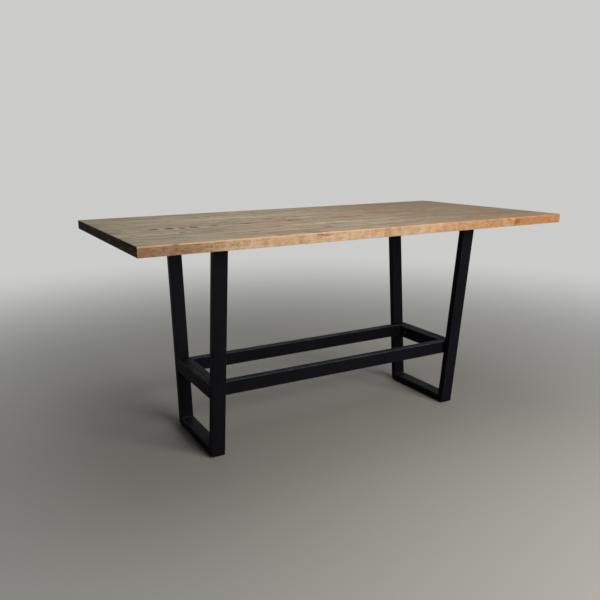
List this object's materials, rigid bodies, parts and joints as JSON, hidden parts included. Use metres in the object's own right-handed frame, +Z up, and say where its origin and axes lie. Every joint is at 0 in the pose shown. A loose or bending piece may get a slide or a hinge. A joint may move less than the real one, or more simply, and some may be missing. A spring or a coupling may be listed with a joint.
{
  "type": "bar table",
  "caption": "Bar-height table with a thick glued-board oak top on trapezoid legs of black steel tube, with a bolted-in foot rest and levelling feet.",
  "frame": {"origin": "on the floor, under the middle of the top", "axes": "+Z up, +X along the length of the top, +Y from the front to the rear"},
  "size_m": [2.3, 1.08, 1.1],
  "materials": {
    "oak": "matt oiled",
    "black_steel": "satin powder coat",
    "foot_plastic": "matt",
    "zinc_steel": "zinc plated",
    "brass_sleeve": "plain",
    "black_bolt": "black oxide"
  },
  "bodies": {
    "table": {"top_board_1": "oak", "top_board_2": "oak", "top_board_3": "oak", "top_board_4": "oak", "top_board_5": "oak", "top_board_6": "oak", "top_board_7": "oak", "top_board_8": "oak", "left_front_leg": "black_steel", "left_rear_leg": "black_steel", "left_floor_bar": "black_steel", "left_cross_rail": "black_steel", "left_top_plate": "black_steel", "right_front_leg": "black_steel", "right_rear_leg": "black_steel", "right_floor_bar": "black_steel", "right_cross_rail": "black_steel", "right_top_plate": "black_steel", "foot_rest_front_rail": "black_steel", "foot_rest_rear_rail": "black_steel", "foot_rest_left_end": "black_steel", "foot_rest_right_end": "black_steel", "left_front_foot_base": "foot_plastic", "left_rear_foot_base": "foot_plastic", "right_front_foot_base": "foot_plastic", "right_rear_foot_base": "foot_plastic", "top_screws": "zinc_steel", "top_washers": "zinc_steel", "top_sleeves": "brass_sleeve", "rest_bolts": "black_bolt", "rest_sleeves": "zinc_steel", "foot_bushes": "zinc_steel"},
    "left_front_stem": {"left_front_foot_stem": "zinc_steel"},
    "left_rear_stem": {"left_rear_foot_stem": "zinc_steel"},
    "right_front_stem": {"right_front_foot_stem": "zinc_steel"},
    "right_rear_stem": {"right_rear_foot_stem": "zinc_steel"}
  },
  "joints": [
    {"name": "left_front_stem_turn", "type": "hinge", "parent": "table", "child": "left_front_stem", "pos_m": [-0.72, -0.2, 0.02], "axis": [0, 0, 1], "range_deg": [0, 3456]},
    {"name": "left_rear_stem_turn", "type": "hinge", "parent": "table", "child": "left_rear_stem", "pos_m": [-0.72, 0.2, 0.02], "axis": [0, 0, 1], "range_deg": [0, 3456]},
    {"name": "right_front_stem_turn", "type": "hinge", "parent": "table", "child": "right_front_stem", "pos_m": [0.72, -0.2, 0.02], "axis": [0, 0, 1], "range_deg": [0, 3456]},
    {"name": "right_rear_stem_turn", "type": "hinge", "parent": "table", "child": "right_rear_stem", "pos_m": [0.72, 0.2, 0.02], "axis": [0, 0, 1], "range_deg": [0, 3456]}
  ]
}
